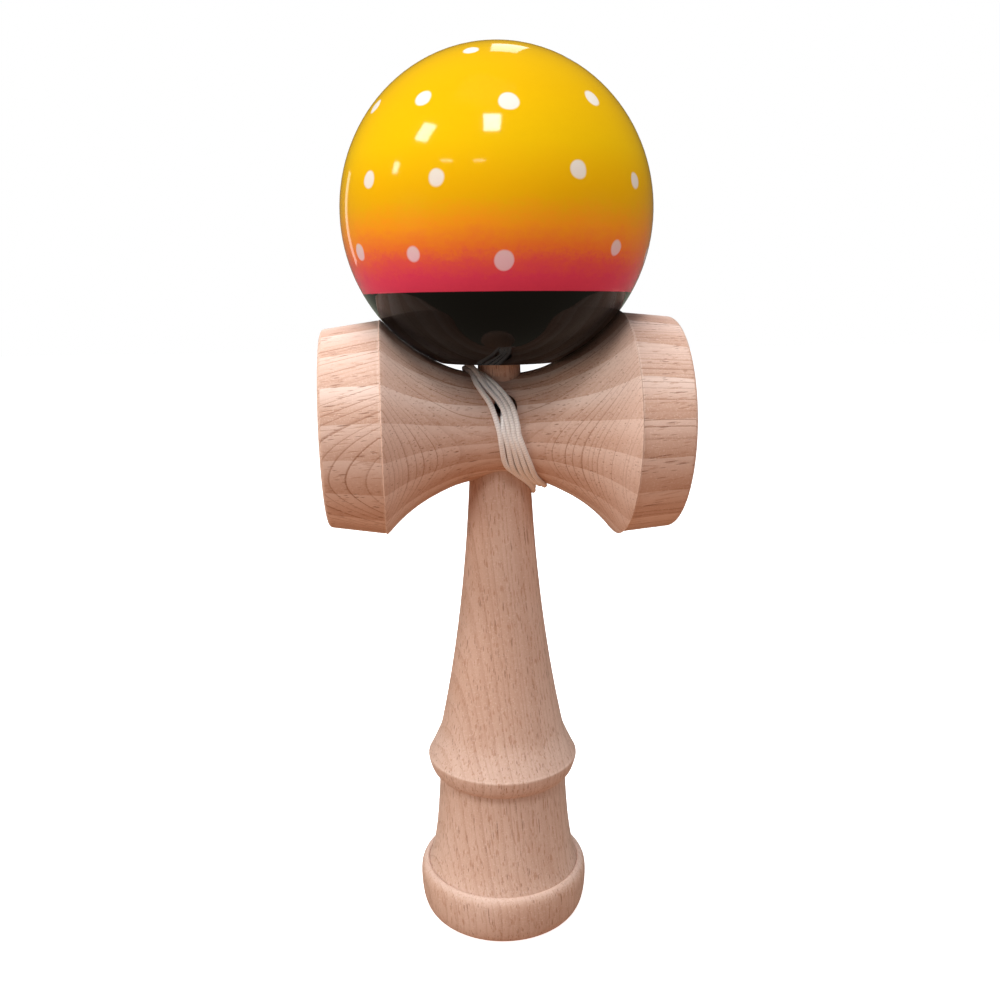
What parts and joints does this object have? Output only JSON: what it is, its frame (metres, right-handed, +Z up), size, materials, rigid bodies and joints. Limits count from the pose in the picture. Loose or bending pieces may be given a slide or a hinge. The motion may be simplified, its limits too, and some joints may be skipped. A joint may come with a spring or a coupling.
{
  "type": "kendama",
  "caption": "Wooden kendama: turned handle with spike and base cup, crosspiece with two cups, lacquered ball on the spike, string wound round the crossing.",
  "frame": {"origin": "centre of the base rim, on the plane that the toy stands on", "axes": "+Z up the handle to the spike, +X along the crosspiece to the big cup, -Y to the string hole's side"},
  "size_m": [0.07, 0.0613, 0.1811],
  "materials": {
    "handle_beech": "sanded, unlacquered beech",
    "crosspiece_beech": "sanded, unlacquered beech",
    "ball_lacquer": "high-gloss lacquer on wood, yellow to red with white dots and a black cap",
    "bead_wood": "plain turned wood",
    "string": "off-white braided cord"
  },
  "bodies": {
    "handle": {"ken": "handle_beech", "sarado": "crosspiece_beech", "string_winding": "string", "ken_knot": "string", "string_lead": "string"},
    "string_end": {"bead": "bead_wood", "tama_knot": "string"},
    "ball": {"tama": "ball_lacquer"}
  },
  "joints": [
    {"name": "ball_lift", "type": "slide", "parent": "handle", "child": "string_end", "axis": [0, 0, 1], "range_m": [0, 0.038], "deforming": ["string_lead"]},
    {"name": "ball_spin", "type": "hinge", "parent": "string_end", "child": "ball", "pos_m": [-0.00022, 0, 0.1499], "axis": [0, 0, 1], "continuous": true}
  ]
}
